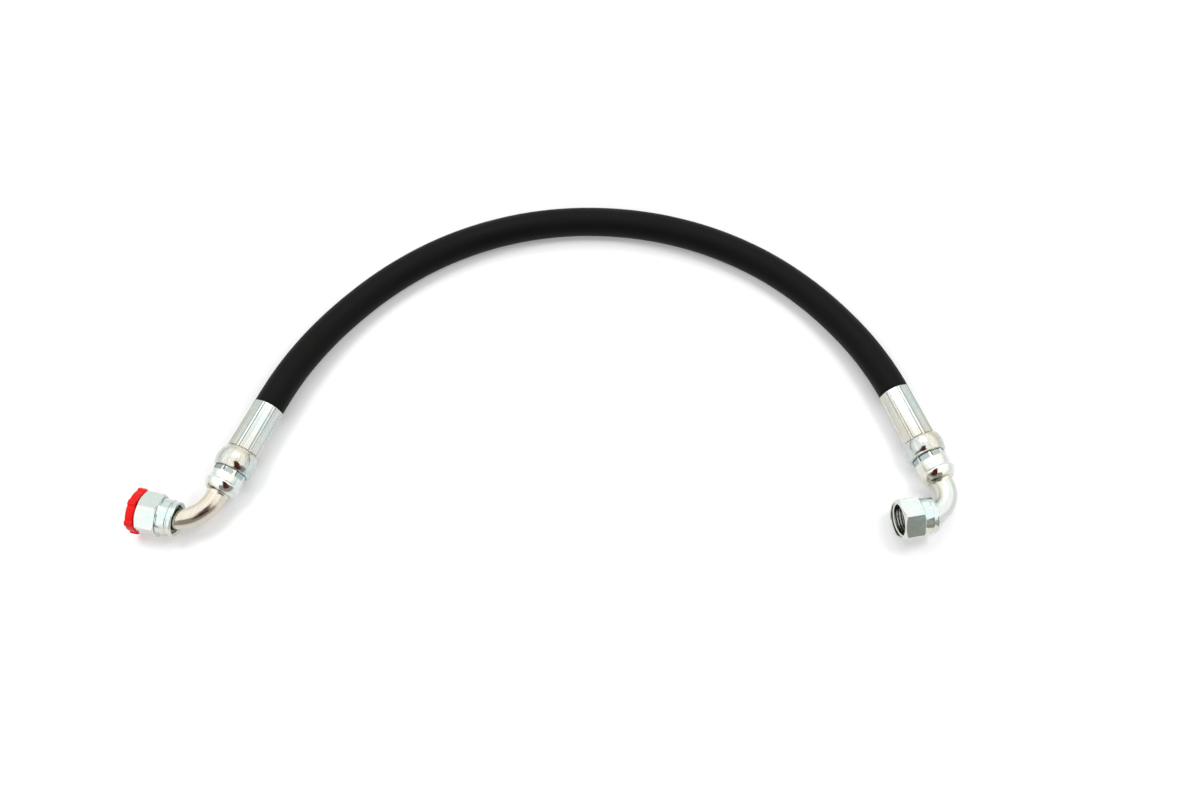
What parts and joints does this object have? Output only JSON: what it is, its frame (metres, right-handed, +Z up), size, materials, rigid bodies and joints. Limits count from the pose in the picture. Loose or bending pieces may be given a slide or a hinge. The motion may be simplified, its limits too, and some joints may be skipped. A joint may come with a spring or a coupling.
{
  "type": "hydraulic hose assembly",
  "caption": "Flexible high-pressure hose with a crimped ferrule, a bent tube and a threaded swivel nut at each end, and a transit plug closing one port.",
  "frame": {"origin": "centre of the footprint of the two end fittings, on the surface that the assembly lies on", "axes": "+Z up; +X from the plugged end A to the open end B, across the span of the bow; +Y towards the crown of the hose's bow"},
  "size_m": [0.5375, 0.2557, 0.0316],
  "materials": {
    "cover_rubber": "smooth satin black rubber",
    "inner_rubber": "plain black rubber, unseen",
    "braid_steel": "brass-coated steel wire braid, unseen",
    "crimped_zinc": "bright zinc plate with fine lengthwise die marks",
    "turned_zinc": "bright zinc plate over turned steel",
    "bent_zinc": "smooth bright zinc plate with a faint warm passivation",
    "nut_zinc": "satin zinc plate with a cool tint",
    "braze_filler": "smooth braze fillet under the plating",
    "plug_plastic": "red moulded polyethylene"
  },
  "bodies": {
    "hose_line": {"hose_cover": "cover_rubber", "outer_braid": "braid_steel", "friction_layer": "inner_rubber", "inner_braid": "braid_steel", "hose_liner": "inner_rubber", "ferrule_a": "crimped_zinc", "stem_a": "turned_zinc", "stem_braze_a": "braze_filler", "bent_tube_a": "bent_zinc", "seat_head_a": "turned_zinc", "head_braze_a": "braze_filler", "ferrule_b": "crimped_zinc", "stem_b": "turned_zinc", "stem_braze_b": "braze_filler", "bent_tube_b": "bent_zinc", "seat_head_b": "turned_zinc", "head_braze_b": "braze_filler"},
    "nut_a": {"swivel_nut_a": "nut_zinc"},
    "nut_b": {"swivel_nut_b": "nut_zinc"},
    "plug": {"transit_plug": "plug_plastic"}
  },
  "joints": [
    {"name": "nut_a_spin", "type": "hinge", "parent": "hose_line", "child": "nut_a", "pos_m": [-0.26036, -0.03464, 0.015], "axis": [-0.9744, 0.225, 0], "continuous": true},
    {"name": "nut_b_spin", "type": "hinge", "parent": "hose_line", "child": "nut_b", "pos_m": [0.22644, -0.0414, 0.01759], "axis": [-0.9757, -0.1977, 0.0945], "continuous": true},
    {"name": "plug_pull", "type": "slide", "parent": "nut_a", "child": "plug", "axis": [-0.9744, 0.225, 0], "range_m": [0, 0.03]}
  ]
}
